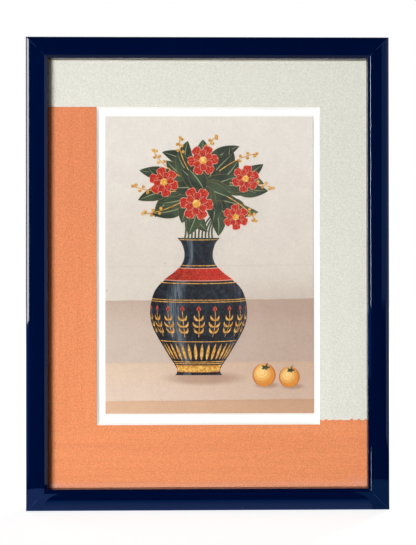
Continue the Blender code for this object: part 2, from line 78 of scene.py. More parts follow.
# Studio: a white sweep, lit by one soft box from the left, two soft lamps behind and a little even
# light. White shows behind the frame; the room on the camera's side is dark, but for a few lit
# cards that only glossy surfaces mirror.
FRAME_LOW, FRAME_HIGH = cad_box
FRAME_MIDDLE = (FRAME_LOW + FRAME_HIGH) / 2
HALF_WIDTH = FRAME_HIGH.x
FRAME_HEIGHT = FRAME_HIGH.z
RAIL_WIDTH = 0.020
KEY_DIRECTION = (-0.46, -0.93, 0.01)
KEY_DISTANCE = 2.8
KEY_SIZE = (1.25, 0.45)
KEY_POWER = 92.5
BACK_POWER = 30.0
AMBIENT = 0.125
FLOOR_GLOW_NEAR = 0.86
FLOOR_GLOW_REACH = (0.5, 1.3)
FLOOR_DARK_FROM = 0.033
RAIL_FOOT_TINTS = ((-1, 0.091, (0.22, 0.40, 1.15, 1)), (1, 0.126, (0.06, 0.20, 0.50, 1)))
RAIL_FOOT_FROM = 0.1495
FAR_SIDE_TINTS = ((-1, 0.24, (0.02, 0.18, 0.85, 1)), (1, 0.40, (0.45, 0.55, 0.87, 1)))
FAR_SIDE_FROM = 0.155


def shade(code):
    """A linear colour from its sRGB hex number."""
    channels = [(code >> shift & 255) / 255 for shift in (16, 8, 0)]
    linear = [c / 12.92 if c <= 0.04045 else ((c + 0.055) / 1.055) ** 2.4 for c in channels]
    return (*linear, 1)


def node_material(name):
    """A new material, whose node tree is the one that the helpers then build on."""
    global tree
    material = bpy.data.materials.new(name)
    material.use_nodes = True
    tree = material.node_tree
    return material


def show(shader):
    """Make a shader the material's surface, in place of the Principled one."""
    tree.nodes.remove(tree.nodes["Principled BSDF"])
    tree.links.new(shader.outputs[0], tree.nodes["Material Output"].inputs["Surface"])


def fill(node, inputs):
    """Give a node's inputs their values, or the sockets that feed them."""
    for socket, value in inputs.items():
        if isinstance(value, bpy.types.NodeSocket):
            tree.links.new(value, node.inputs[socket])
        else:
            node.inputs[socket].default_value = value
    return node


def wire(kind, inputs=(), **settings):
    """Add a shader node with its settings and inputs."""
    made = tree.nodes.new(f"ShaderNode{kind}")
    for name, value in settings.items():
        setattr(made, name, value)
    return fill(made, dict(inputs))


def maths(operation, *values):
    """The result of one Math node."""
    return wire("Math", dict(enumerate(values)), operation=operation).outputs[0]


def times(one, other):
    """Two values multiplied."""
    return maths("MULTIPLY", one, other)


def minus(one, other):
    """One value less another."""
    return maths("SUBTRACT", one, other)


def times_add(one, other, more):
    """Two values multiplied, and a third added."""
    return maths("MULTIPLY_ADD", one, other, more)


def apart(vector):
    """A vector's X, Y and Z, as sockets."""
    return wire("SeparateXYZ", {0: vector}).outputs


def ease(value, low, high, start=0.0, end=1.0, step="SMOOTHSTEP"):
    """A value's step from start at low to end at high, smooth unless another step is named."""
    inputs = {"Value": value, "From Min": low, "From Max": high, "To Min": start, "To Max": end}
    return wire("MapRange", inputs, interpolation_type=step).outputs[0]


def blend(share, first, second, mode="MIX"):
    """A second colour laid over the first by its share; a whole number is an sRGB hex colour."""
    first, second = (shade(c) if isinstance(c, int) else c for c in (first, second))
    mixed = wire("Mix", {0: share, 6: first, 7: second}, data_type="RGBA", blend_type=mode)
    return mixed.outputs[2]


def soft_box(name, direction, distance, size, power):
    """A rectangular lamp that looks at the frame's middle, unseen in what is glossy."""
    place = FRAME_MIDDLE + Vector(direction).normalized() * distance
    bpy.ops.object.light_add(type="AREA", location=place)
    lamp = bpy.context.object
    lamp.name = name
    lamp.rotation_euler = (FRAME_MIDDLE - place).to_track_quat("-Z", "Y").to_euler()
    lamp.data.shape = "RECTANGLE"
    lamp.data.size, lamp.data.size_y = size
    lamp.data.energy = power
    lamp.visible_glossy = False


def reflector(name, middle, size, facing, brightness):
    """A lit card that only glossy surfaces see, and that lights nothing matt."""
    bpy.ops.mesh.primitive_plane_add(size=1, location=middle)
    card = bpy.context.object
    card.name = name
    card.scale = (*size, 1)
    card.rotation_euler = Vector(facing).to_track_quat("Z", "Y").to_euler()
    card.visible_camera = False
    card.visible_diffuse = False
    card.visible_transmission = False
    card.visible_shadow = False
    card.data.materials.append(node_material(name))
    front = minus(1.0, wire("NewGeometry").outputs["Backfacing"])
    direct = maths("LESS_THAN", wire("LightPath").outputs["Diffuse Depth"], 0.5)
    lit = times(times(front, direct), brightness)
    show(wire("Emission", {"Strength": lit}))


soft_box("soft_box_left", KEY_DIRECTION, KEY_DISTANCE, KEY_SIZE, KEY_POWER)
soft_box("soft_box_behind", (0.6, 1, 0.9), 1.8, (0.9, 0.9), BACK_POWER)
soft_box("fill_behind", (-0.9, 0.8, 0.3), 2.0, (1.2, 1.2), BACK_POWER / 3)
reflector("strip_left", (-0.45, -0.189, 0.3525), (0.212, 0.395), (1, 0, 0), 12.0)
reflector("strip_front", (-0.205, -0.365, 0.3845), (0.12, 0.421), (0.94, -0.34, 0), 170.0)
reflector("strip_low", (0.098, -0.080, 0.021), (0.066, 0.040), (0.98, -0.2, 0), 26.0)
reflector("card_low_left", (-0.0757, -0.054, 0.064), (0.03, 0.116), (-1, 0, 0), 0.6)
reflector("card_below", (0, -0.275, 0.035), (0.60, 0.12), (0, -0.62, 0.78), 0.30)

bpy.ops.mesh.primitive_plane_add(size=12)
floor = bpy.context.object
floor.name = "floor"
floor.data.materials.append(node_material("white_floor"))
rays = wire("LightPath").outputs
place = wire("TexCoord").outputs["Object"]
away = wire("VectorMath", {0: place}, operation="LENGTH").outputs["Value"]
glow_near = ease(away, *FLOOR_GLOW_REACH, FLOOR_GLOW_NEAR, 1.0, "LINEAR")
seen = maths("MAXIMUM", rays["Is Camera Ray"], rays["Is Transmission Ray"])
glow = wire("Emission", {"Strength": times(seen, glow_near)})
matt = wire("BsdfDiffuse", {"Color": (0.40, 0.40, 0.40, 1)})
both = wire("AddShader", {0: glow.outputs[0], 1: matt.outputs[0]})
# In the lacquer the floor is bluish close in front of the frame, beside the feet of its rails and
# far to the sides, dark elsewhere in front, and pale behind
parts = apart(place)
ahead = times(parts["Y"], -1.0)
mirrored = blend(ease(ahead, 0.012, 0.034), (0.26, 0.44, 1.10, 1), (0.02, 0.16, 0.58, 1))
mirrored = blend(maths("GREATER_THAN", ahead, FLOOR_DARK_FROM), mirrored, (0, 0, 0, 1))
for side, reach, tint in RAIL_FOOT_TINTS:
    foot = (side * (HALF_WIDTH - RAIL_WIDTH / 2), FRAME_LOW.y, 0)
    off_foot = wire("VectorMath", {0: place, 1: foot}, operation="DISTANCE").outputs["Value"]
    outward = maths("GREATER_THAN", times(parts["X"], side), RAIL_FOOT_FROM)
    beside = times(outward, maths("LESS_THAN", off_foot, reach))
    mirrored = blend(beside, mirrored, tint)
for side, start, tint in FAR_SIDE_TINTS:
    outward = times(parts["X"], side)
    aside = maths("GREATER_THAN", minus(outward, FAR_SIDE_FROM), ahead)
    aside = times(aside, ease(outward, start, start + 0.05))
    mirrored = blend(aside, mirrored, tint)
mirrored = blend(maths("LESS_THAN", ahead, 0.0), mirrored, (0.70, 0.70, 0.70, 1))
mirror_glow = wire("Emission", {"Color": mirrored})
glossy = rays["Is Glossy Ray"]
show(wire("MixShader", {0: glossy, 1: both.outputs[0], 2: mirror_glow.outputs[0]}))

world = bpy.data.worlds.new("studio")
bpy.context.scene.world = world
world.use_nodes = True
tree = world.node_tree
rays = wire("LightPath").outputs
parts = apart(wire("TexCoord").outputs["Generated"])
# Glossy surfaces see a dim wall behind, and a bluish one from 31 degrees to the camera's right
mirrored = blend(ease(parts["X"], 0.51, 0.59), (0, 0, 0, 1), (0.13, 0.25, 0.65, 1))
mirrored = blend(ease(parts["X"], 0.68, 0.88), mirrored, (0.50, 0.60, 0.90, 1))
mirrored = blend(ease(parts["Y"], -0.05, 0.25), mirrored, (0.36, 0.42, 0.58, 1))
around = blend(rays["Is Glossy Ray"], (1, 1, 1, 1), mirrored)
tree.links.new(around, tree.nodes["Background"].inputs["Color"])
seen = maths("MAXIMUM", rays["Is Camera Ray"], rays["Is Transmission Ray"])
seen = maths("MAXIMUM", seen, rays["Is Glossy Ray"])
matt_share = times(rays["Is Diffuse Ray"], AMBIENT)
tree.links.new(maths("ADD", seen, matt_share), tree.nodes["Background"].inputs["Strength"])

# Rails: four lengths of one ramin moulding, cut at 45 degrees and sprayed navy with a gloss
# lacquer after the corners were joined. The back and the rebate are left as bare wood.
RAIL_SIDES = ("top", "bottom", "left", "right")
MERGE = 0.00001
MITRE_GAP = 0.0002
SMOOTH_ANGLE = math.radians(35)
LIP_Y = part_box("glazing")[0].y


def material_named(name):
    """A new Principled material, as (material, its shader, places on the finished piece in metres)."""
    material = node_material(name)
    return material, tree.nodes["Principled BSDF"], wire("TexCoord").outputs["Object"]


def clouds(vector, scale, detail=2.0, rough=0.5):
    """Soft noise from 0 to 1, its scale in turns to the metre."""
    inputs = {"Vector": vector, "Scale": scale, "Detail": detail, "Roughness": rough}
    return wire("TexNoise", inputs).outputs[0]


def stretched(vector, scales):
    """Coordinates drawn out by axis, for grain and brush strokes."""
    return wire("Mapping", {"Vector": vector, "Scale": scales}).outputs[0]


def new_effect(name, inputs, outputs):
    """A node group built on from then, with a Vector input and the named sockets.

    It comes back as (group, its inputs, its output node).
    """
    global tree
    tree = bpy.data.node_groups.new(name, "ShaderNodeTree")
    tree.interface.new_socket("Vector", in_out="INPUT", socket_type="NodeSocketVector")
    for socket, kind, value in inputs:
        made = tree.interface.new_socket(socket, in_out="INPUT", socket_type=f"NodeSocket{kind}")
        made.default_value = value
    for socket, kind in outputs:
        tree.interface.new_socket(socket, in_out="OUTPUT", socket_type=f"NodeSocket{kind}")
    given = tree.nodes.new("NodeGroupInput").outputs
    return tree, given, tree.nodes.new("NodeGroupOutput")


def put_out(result, *values):
    """Join an effect's values to its outputs, in order."""
    for socket, value in zip(result.inputs, values):
        tree.links.new(value, socket)


def place_effect(group, vector, **inputs):
    """Place an effect in a material with its own values."""
    made = tree.nodes.new("ShaderNodeGroup")
    made.node_tree = group
    return fill(made, {"Vector": vector, **inputs}).outputs


def coat(shader, colour, roughness, height, depth):
    """Give a shader its colour, roughness and a relief of some depth in metres."""
    relief = wire("Bump", {"Height": height, "Strength": 1.0, "Distance": depth}).outputs[0]
    fill(shader, {"Base Color": colour, "Roughness": roughness, "Normal": relief})


# Specks: dust, nibs and foxing, a few round dots of uneven size
specks, given, result = new_effect(
    "specks",
    [("Scale", "Float", 100.0), ("Share", "Float", 0.1),
     ("Size", "Float", 0.1)],
    [("Mask", "Float")],
)
cells = wire("TexVoronoi", {"Vector": given[0], "Scale": given[1]})
picked = wire("SeparateColor", {0: cells.outputs["Color"]})
chosen = maths("LESS_THAN", picked.outputs[0], given[2])
radius = times(given[3], picked.outputs[1])
inside = ease(cells.outputs["Distance"], 0.0, radius, 1.0, 0.0, "LINEAR")
put_out(result, times(chosen, inside))


navy_lacquer, shader, place = material_named("navy_lacquer")
drift = clouds(place, 9.0, 3.0)
colour = blend(drift, 0x000929, 0x000D32)
nib = place_effect(specks, place, Scale=130.0, Share=0.05, Size=0.16)
colour = blend(times(nib[0], 0.5), colour, 0x3B5378)
parts = apart(place)
off_side = maths("ABSOLUTE", parts["X"])
off_middle = maths("ABSOLUTE", minus(parts["Z"], FRAME_HEIGHT / 2))
corner_line = minus(minus(off_middle, off_side), FRAME_HEIGHT / 2 - HALF_WIDTH)
from_mitre = maths("ABSOLUTE", corner_line)
worn = ease(from_mitre, 0.0002, 0.0007, 1.0, 0.0)
worn = times(worn, ease(clouds(place, 180.0), 0.40, 0.62))
colour = blend(times(worn, 0.40), colour, 0x2C3E66)
smudge = ease(clouds(place, 30.0, 4.0), 0.45, 0.75, 0.035, 0.085)
shader.inputs["IOR"].default_value = 1.5
peel = maths("ADD", clouds(place, 150.0, 1.0), times(nib[0], 0.6))
coat(shader, colour, maths("ADD", smudge, times(worn, 0.03)), peel, 0.000012)

# Wood grain: long fibres with short dark pores, drawn along X
grain, given, result = new_effect(
    "wood_grain",
    [("Pale", "Color", (1, 1, 1, 1)), ("Dark", "Color", (0, 0, 0, 1))],
    [("Color", "Color"), ("Height", "Float")],
)
fibres = clouds(stretched(given[0], (14, 420, 420)), 1.0, 5.0, 0.62)
bands = clouds(stretched(given[0], (5, 110, 110)), 1.0, 2.0)
pores = ease(clouds(stretched(given[0], (140, 2600, 2600)), 1.0, 1.0), 0.66, 0.74)
tone = times_add(bands, 0.6, times(fibres, 0.5))
tone = ease(tone, 0.38, 0.72)
tone = times_add(pores, 0.5, tone)
put_out(result, blend(tone, given[1], given[2]), minus(fibres, pores))


def bare_wood(name, grain_turn):
    """Unfinished moulding wood, its grain turned along the rail and navy overspray at its edge."""
    material, shader, place = material_named(name)
    along = wire("Mapping", {"Vector": place, "Rotation": (0, grain_turn, 0)}).outputs[0]
    wood = place_effect(grain, along, Pale=shade(0xDDBF94), Dark=shade(0xAE8453))
    parts = apart(place)
    side = minus(HALF_WIDTH, maths("ABSOLUTE", parts["X"]))
    off_middle = minus(parts["Z"], FRAME_HEIGHT / 2)
    end = minus(FRAME_HEIGHT / 2, maths("ABSOLUTE", off_middle))
    edge = maths("MINIMUM", side, end)
    ragged = times_add(clouds(place, 420.0, 4.0, 0.7), 0.0042, edge)
    mist = ease(ragged, 0.0022, 0.0042, 0.92, 0.0)
    colour = blend(mist, wood[0], 0x0A1A45)
    coat(shader, colour, ease(mist, 0.0, 1.0, 0.78, 0.45), wood[1], 0.00012)
    return material


rail_wood = {
    "top": bare_wood("bare_wood_across", 0.0),
    "left": bare_wood("bare_wood_upright", math.pi / 2),
}
rail_wood["bottom"] = rail_wood["top"]
rail_wood["right"] = rail_wood["left"]


def select_only(piece):
    """Make one piece the selected and active one."""
    bpy.ops.object.select_all(action="DESELECT")
    piece.select_set(True)
    bpy.context.view_layer.objects.active = piece


def edit(everything=True):
    """Shape the active piece in edit mode, with all of it selected or the selection kept."""
    bpy.ops.object.mode_set(mode="EDIT")
    if everything:
        bpy.ops.mesh.select_all(action="SELECT")


def done():
    """Leave edit mode."""
    bpy.ops.object.mode_set(mode="OBJECT")


def merged_copy(node, name):
    """A copy of a CAD node whose loose triangles are made whole faces again; it stands for the node."""
    piece = bpy.data.objects.new(name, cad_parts[node].data.copy())
    bpy.context.scene.collection.objects.link(piece)
    piece.data.materials.clear()
    select_only(piece)
    edit()
    bpy.ops.mesh.customdata_custom_splitnormals_clear()
    bpy.ops.mesh.remove_doubles(threshold=MERGE)
    bpy.ops.mesh.dissolve_limited(angle_limit=math.radians(0.2))
    done()
    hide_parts(node)
    return piece


def apply_modifier(piece, kind, **settings):
    """Add a modifier and apply it."""
    select_only(piece)
    modifier = piece.modifiers.new(kind.lower(), kind)
    for name, value in settings.items():
        setattr(modifier, name, value)
    bpy.ops.object.modifier_apply(modifier=modifier.name)


def finish_piece(piece, slot_name, *materials):
    """Give a finished piece its materials and its body; its slot name is not used."""
    for material in materials:
        piece.data.materials.append(material)
    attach(piece, "root")


def is_lacquered(face):
    """True on the face, the lip, the outer side and the joints of a rail, where the lacquer ran."""
    centre = face.center
    normal = face.normal
    in_joint = abs(normal.y) < 0.01 and abs(abs(normal.x) - abs(normal.z)) < 0.01
    outer = max(abs(centre.x) - HALF_WIDTH, centre.z - FRAME_HEIGHT, -centre.z)
    return in_joint or normal.y < 0.99 and (centre.y < LIP_Y - MERGE or outer > -0.0006)


for side in RAIL_SIDES:
    rail = merged_copy(f"frame_rail_{side}", f"lacquered_rail_{side}")
    # The CAD rails stand 0.3 mm apart at the mitres; here they are drawn up tight, as glued joints are
    lengthwise = 0 if side in ("top", "bottom") else 2
    for vertex in rail.data.vertices:
        off_middle = vertex.co - FRAME_MIDDLE
        off_mitre = abs(off_middle.z) - abs(off_middle.x) - (FRAME_HEIGHT / 2 - HALF_WIDTH)
        if abs(off_mitre) < MITRE_GAP * 1.5:
            vertex.co[lengthwise] += math.copysign(MITRE_GAP, off_middle[lengthwise])
    finish_piece(rail, "navy_lacquer", navy_lacquer, rail_wood[side])
    for face in rail.data.polygons:
        face.material_index = 0 if is_lacquered(face) else 1
    select_only(rail)
    bpy.ops.object.shade_smooth_by_angle(angle=SMOOTH_ANGLE)
    apply_modifier(rail, "WEIGHTED_NORMAL", keep_sharp=True)

# Glass: one 2 mm pane of float glass with seamed edges. It is laid in the rebate under the lip, and
# the mat and boards behind hold it there.
SEAMED_EDGE = 0.00025


def block(name, low, high):
    """A block that fills a box, in edit mode and selected all over."""
    bpy.ops.mesh.primitive_cube_add(size=1, location=(low + high) / 2, scale=high - low)
    piece = bpy.context.object
    piece.name = name
    bpy.ops.object.transform_apply()
    edit()
    return piece


def seamed_block(name, node, width):
    """A flat block in place of a CAD node, with its edges taken off."""
    piece = block(name, *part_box(node))
    bpy.ops.mesh.bevel(offset=width, segments=2, affect="EDGES")
    done()
    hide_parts(node)
    return piece


clear_glass = node_material("clear_glass")
place = wire("TexCoord").outputs["Object"]
dust = place_effect(specks, place, Scale=90.0, Share=0.05, Size=0.10)
through = wire("BsdfTransparent", {"Color": (0.993, 0.997, 0.994, 1)})
mirror = wire("BsdfGlossy", {"Roughness": 0.01})
bend = wire("Fresnel", {"IOR": 1.5})
# Both faces of the pane mirror a little; the outer one stands for the two
outside = minus(1.0, wire("NewGeometry").outputs["Backfacing"])
mirrored = times(times(bend.outputs[0], 1.9), outside)
pane = wire("MixShader", {0: mirrored, 1: through.outputs[0], 2: mirror.outputs[0]})
# Specks of dust dull the pane, and along its foot, just above the bottom rail, a faint lighter band is
# painted light
dust_and_light_film = wire("BsdfDiffuse", {"Color": (0.80, 0.80, 0.78, 1)})
painted_light_band = ease(apart(place)["Z"], 0.0215, 0.0265, 0.05, 0.0)
dust_and_painted_light = times_add(dust[0], 0.16, painted_light_band)
show(wire("MixShader", {0: dust_and_painted_light, 1: pane.outputs[0], 2: dust_and_light_film.outputs[0]}))

pane = seamed_block("glass_pane", "glazing", SEAMED_EDGE)
finish_piece(pane, "clear_glass", clear_glass)

# Window mat: white board with its window cut at 45 degrees, faced with paper that was painted by
# brush in two colours. The strokes follow each strip, and the orange's edge is a little ragged.
CORE_LOW, CORE_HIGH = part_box("mat_core")
PALE_LOW, PALE_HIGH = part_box("mat_facing_pale")
SHEET_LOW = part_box("print_sheet")[0]
CORE_PLAY = 0.00002


def column_of(node, axis):
    """The places that a CAD node's corners take along one axis, in order."""
    return sorted({round(vertex.co[axis], 5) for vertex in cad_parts[node].data.vertices})


window_x = column_of("mat_core", 0)
window_z = column_of("mat_core", 2)
WINDOW_LEFT, WINDOW_RIGHT = window_x[1], window_x[-2]
WINDOW_FOOT, WINDOW_HEAD = window_z[1], window_z[-2]
PALE_FOOT = PALE_LOW.z
CORE_FRONT = PALE_HIGH.y + CORE_PLAY
BEVEL_RUN = CORE_HIGH.y - CORE_FRONT

# Paper tooth: the fine relief and mottle of paper and board
tooth, given, result = new_effect(
    "paper_tooth",
    [("Color", "Color", (1, 1, 1, 1)), ("Mottle", "Float", 0.05)],
    [("Color", "Color"), ("Height", "Float")],
)
coarse = clouds(given[0], 800.0, 3.0, 0.65)
fine = clouds(given[0], 2400.0, 2.0)
patch = times(minus(coarse, 0.5), given[2])
lift = times_add(patch, 2.0, 1.0)
lifted = wire("CombineColor", {0: lift, 1: lift, 2: lift}).outputs[0]
mottled = blend(1.0, given[1], lifted, "MULTIPLY")
put_out(result, mottled, times_add(coarse, 0.5, fine))

# Brush strokes: upright beside the window, and level above and below it
strokes, given, result = new_effect(
    "brush_strokes",
    [("Head", "Float", 0.4), ("Foot", "Float", 0.1)],
    [("Stroke", "Float"), ("Height", "Float")],
)
parts = apart(given[0])
above = maths("GREATER_THAN", parts["Z"], given[1])
below = maths("LESS_THAN", parts["Z"], given[2])
level = maths("MAXIMUM", above, below)
upright_way = stretched(given[0], (1, 1, 0.035))
level_way = stretched(given[0], (0.035, 1, 1))
way = wire("Mix", {0: level, 4: upright_way, 5: level_way}, data_type="VECTOR").outputs[1]
hairs = clouds(way, 620.0, 3.0, 0.6)
sweeps = clouds(way, 120.0, 2.0)
stroke = times_add(sweeps, 0.55, times(hairs, 0.45))
put_out(result, ease(stroke, 0.30, 0.70), hairs)


def brushed_paint(name, thin, full, painted_light_foot_tint, mottle):
    """Matt paint that lets a lighter or darker ground through between the strokes; its ground is painted
    lighter towards the foot, as painted light.
    """
    material, shader, place = material_named(name)
    brush = place_effect(strokes, place, Head=WINDOW_HEAD, Foot=WINDOW_FOOT)
    parts = apart(place)
    # Painted light: the paint is made lighter towards the foot of the mat, where the light falls brighter
    height = ease(parts["Z"], 0.03, 0.40, 1.0, 0.0)
    ground = blend(height, full, painted_light_foot_tint)
    strength = ease(brush[0], 0.0, 1.0, 0.53, 0.76)
    colour = blend(strength, thin, ground)
    paper = place_effect(tooth, place, Color=colour, Mottle=mottle)
    shader.inputs["Specular IOR Level"].default_value = 0.0
    relief = times_add(brush[1], 0.6, paper[1])
    coat(shader, paper[0], ease(brush[0], 0.0, 1.0, 0.92, 0.80), relief, 0.00003)
    return material


# The third colour of each paint is painted light, the lighter tint at the mat's foot
pale_paint = brushed_paint("pale_paint", 0xD8D6CD, 0xDEDBD2, 0xE9E7DE, 0.32)
orange_paint = brushed_paint("orange_paint", 0xD77F56, 0xDE8B62, 0xF39F6E, 0.45)


def plain_card(name, code, mottle, roughness):
    """Uncoated paper or board."""
    material, shader, place = material_named(name)
    paper = place_effect(tooth, place, Color=shade(code), Mottle=mottle)
    shader.inputs["Specular IOR Level"].default_value = 0.0
    coat(shader, paper[0], ease(paper[1], 0.3, 1.2, roughness, 1.0), paper[1], 0.00003)
    return material


core_board = plain_card("core_board", 0xFAF9F6, 0.02, 0.9)


def upright_sheet(name, y):
    """A flat sheet the size of the boards, facing the glass, selected."""
    bpy.ops.mesh.primitive_plane_add(
        size=1, location=(0, y, (CORE_LOW.z + CORE_HIGH.z) / 2), rotation=(math.pi / 2, 0, 0)
    )
    piece = bpy.context.object
    piece.name = name
    piece.scale = (CORE_HIGH.x - CORE_LOW.x, CORE_HIGH.z - CORE_LOW.z, 1)
    bpy.ops.object.transform_apply()
    return piece


core = upright_sheet("bevelled_mat_core", CORE_FRONT)
edit()
bpy.ops.mesh.inset(thickness=0.02)
done()
# The inset square is drawn out to the window, then sunk through the board as its bevel
for vertex in core.data.vertices:
    if vertex.select:
        vertex.co.x = WINDOW_LEFT if vertex.co.x < 0 else WINDOW_RIGHT
        vertex.co.z = WINDOW_FOOT if vertex.co.z < FRAME_MIDDLE.z else WINDOW_HEAD
window_size = Vector((WINDOW_RIGHT - WINDOW_LEFT, 0, WINDOW_HEAD - WINDOW_FOOT))
edit(False)
bpy.ops.mesh.extrude_region_move(TRANSFORM_OT_translate={"value": (0, BEVEL_RUN, 0)})
bpy.ops.transform.resize(
    value=(1 - 2 * BEVEL_RUN / window_size.x, 1, 1 - 2 * BEVEL_RUN / window_size.z),
    center_override=((WINDOW_LEFT + WINDOW_RIGHT) / 2, 0, (WINDOW_FOOT + WINDOW_HEAD) / 2),
)
bpy.ops.mesh.delete(type="ONLY_FACE")
bpy.ops.mesh.select_all(action="SELECT")
bpy.ops.mesh.region_to_loop()
done()
outer_edge = [
    edge for edge in core.data.edges
    if edge.select and core.data.vertices[edge.vertices[0]].co.y < CORE_FRONT + MERGE
]
for edge in core.data.edges:
    edge.select = edge in outer_edge
edit(False)
bpy.ops.mesh.extrude_region_move(TRANSFORM_OT_translate={"value": (0, BEVEL_RUN, 0)})
bpy.ops.mesh.select_all(action="SELECT")
bpy.ops.mesh.region_to_loop()
bpy.ops.mesh.bridge_edge_loops()
bpy.ops.mesh.select_all(action="SELECT")
bpy.ops.mesh.normals_make_consistent(inside=False)
done()
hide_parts("mat_core")
finish_piece(core, "white_board", core_board)

RAGGED_EDGE = 0.0009
PAINT_MEET = 0.00004


def ragged(x, z):
    """How far the brush went past the line where the two colours meet."""
    if z > FRAME_MIDDLE.z:
        return RAGGED_EDGE * 0.25 * noise.noise(Vector((x * 240, 3.0, 0)))
    tuft = noise.noise(Vector((x * 300, 7.0, 0))) + 0.5 * noise.noise(Vector((x * 900, 1.0, 0)))
    return RAGGED_EDGE * max(tuft, -0.12) * 2.4


def painted_facing(name, node, keep, lift, slot_name, material):
    """One colour of the facing: the board's outline cut along the window and the paint's edge."""
    low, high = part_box(node)
    piece = upright_sheet(name, low.y)
    edit(False)
    for place, normal in (
        ((WINDOW_LEFT, 0, 0), (1, 0, 0)),
        ((WINDOW_RIGHT, 0, 0), (1, 0, 0)),
        ((0, 0, WINDOW_HEAD), (0, 0, 1)),
        ((0, 0, WINDOW_FOOT), (0, 0, 1)),
        ((0, 0, PALE_FOOT), (0, 0, 1)),
    ):
        bpy.ops.mesh.select_all(action="SELECT")
        bpy.ops.mesh.bisect(plane_co=place, plane_no=normal)
    done()
    for face in piece.data.polygons:
        face.select = not keep(face.center)
    edit(False)
    bpy.ops.mesh.select_mode(type="FACE")
    bpy.ops.mesh.delete(type="FACE")
    bpy.ops.mesh.select_mode(type="EDGE")
    bpy.ops.mesh.select_all(action="DESELECT")
    done()
    corners = piece.data.vertices
    for edge in piece.data.edges:
        ends = [corners[index].co for index in edge.vertices]
        middle = (ends[0] + ends[1]) / 2
        beside = middle.x < WINDOW_LEFT or middle.x > WINDOW_RIGHT
        line = WINDOW_HEAD if middle.x < 0 else PALE_FOOT
        edge.select = beside and all(abs(end.z - line) < MERGE for end in ends)
    edit(False)
    bpy.ops.mesh.subdivide(number_cuts=110)
    done()
    for vertex in piece.data.vertices:
        x, z = vertex.co.x, vertex.co.z
        line = WINDOW_HEAD if x < 0 else PALE_FOOT
        if abs(z - line) < MERGE and (x <= WINDOW_LEFT + MERGE or x >= WINDOW_RIGHT - MERGE):
            vertex.co.z += ragged(x, z) + lift
    apply_modifier(piece, "SOLIDIFY", thickness=high.y - low.y, offset=-1)
    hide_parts(node)
    finish_piece(piece, slot_name, material)
    return piece


def in_window(place):
    """True inside the mat's window."""
    return WINDOW_LEFT < place.x < WINDOW_RIGHT and WINDOW_FOOT < place.z < WINDOW_HEAD


def is_pale(place):
    """True where the facing is painted pale: above the window, and to its right."""
    return place.z > (PALE_FOOT if place.x > WINDOW_RIGHT else WINDOW_HEAD)


painted_facing(
    "pale_facing", "mat_facing_pale", lambda p: is_pale(p) and not in_window(p), PAINT_MEET,
    "pale_paint", pale_paint,
)
painted_facing(
    "orange_facing", "mat_facing_orange", lambda p: not is_pale(p) and not in_window(p), 0.0,
    "orange_paint", orange_paint,
)

# Mount board: one sheet of bright white card behind the window, as large as the other boards. The
# print is fixed to it with two hinges of linen tape.
mount_card = plain_card("mount_card", 0xFDFDFC, 0.012, 0.9)
mount = seamed_block("mount_card", "mount_board", 0.0001)
finish_piece(mount, "white_board", mount_card)

linen, shader, place = material_named("linen_tape")
warp = wire("TexWave", {"Vector": place, "Scale": 420.0, "Distortion": 0.6}, bands_direction="X")
weft = wire("TexWave", {"Vector": place, "Scale": 420.0, "Distortion": 0.6}, bands_direction="Z")
weave = times(warp.outputs["Fac"], weft.outputs["Fac"])
coat(shader, blend(weave, 0xCFC8B6, 0xECE8DC), ease(weave, 0, 1, 0.95, 0.85), weave, 0.00006)
for side in ("left", "right"):
    tape = seamed_block(f"linen_hinge_{side}", f"hinge_tape_{side}", 0.00003)
    finish_piece(tape, "linen_tape", linen)

# Print: a still life printed on one sheet of matt paper, trimmed flush at its sides. It floats on
# the mount board, so that its edges show in the window.
print_paper = plain_card("print_paper", 0xF2F1EF, 0.015, 0.85)
paper_sheet = seamed_block("print_paper_sheet", "print_sheet", 0.00004)
finish_piece(paper_sheet, "paper", print_paper)

# Picture's ground: thin washes of ink, one below another: a wall, a dado, a table and its front
# edge. They are darker to the right and along each upper edge, where the wash pooled.
GROUND_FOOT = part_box("print_table_edge")[0]
GROUND_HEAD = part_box("print_wall")[1]
PICTURE_HEIGHT = GROUND_HEAD.z - GROUND_FOOT.z
PICTURE_UNIT = PICTURE_HEIGHT / 1000
PICTURE_X = (GROUND_FOOT.x + GROUND_HEAD.x) / 2
INK_FILM = 0.000013
INK_PITCH = 0.00002
GROUND_BANDS = (
    (0.500, 0xD8CEC3, 0xD8CEC3),
    (0.383, 0xC5AFA0, 0xD0BDB0),
    (0.173, 0xE0C6B0, 0xE3CCBB),
    (0.045, 0xDDB799, 0xDFB998),
)
VASE_SHADOW = (-20, 118, 170, 30)
FRUIT_SHADOWS = ((192, 95, 54, 15), (278, 91, 50, 14))


def picture_place(x, z, layer):
    """A place on the print, in thousandths of the picture's height from the middle of its foot."""
    return Vector((
        PICTURE_X + PICTURE_UNIT * x,
        SHEET_LOW.y - INK_PITCH * (layer + 1),
        GROUND_FOOT.z + PICTURE_UNIT * z,
    ))


# Wash: ink that settled unevenly into the paper, with soft blooms and fine grains
wash, given, result = new_effect(
    "ink_wash",
    [("Color", "Color", (1, 1, 1, 1)), ("Depth", "Float", 0.1),
     ("Grain", "Float", 900.0)],
    [("Color", "Color"), ("Height", "Float")],
)
blooms = clouds(given[0], 60.0, 3.0, 0.6)
grains = clouds(given[0], given[3], 3.0, 0.65)
settled = times_add(grains, 1.3, times(blooms, 0.7))
uneven = times(minus(settled, 1.0), given[2])
lift = times_add(uneven, 2.0, 1.0)
lifted = wire("CombineColor", {0: lift, 1: lift, 2: lift}).outputs[0]
put_out(result, blend(1.0, given[1], lifted, "MULTIPLY"), grains)


def washed_ink(shader, place, colour, depth, grain):
    """Feed a shader with matt ink that took unevenly."""
    ink = place_effect(wash, place, Color=colour, Depth=depth, Grain=grain)
    shader.inputs["Specular IOR Level"].default_value = 0.25
    coat(shader, ink[0], ease(ink[1], 0.2, 0.8, 0.72, 0.90), ink[1], 0.00001)


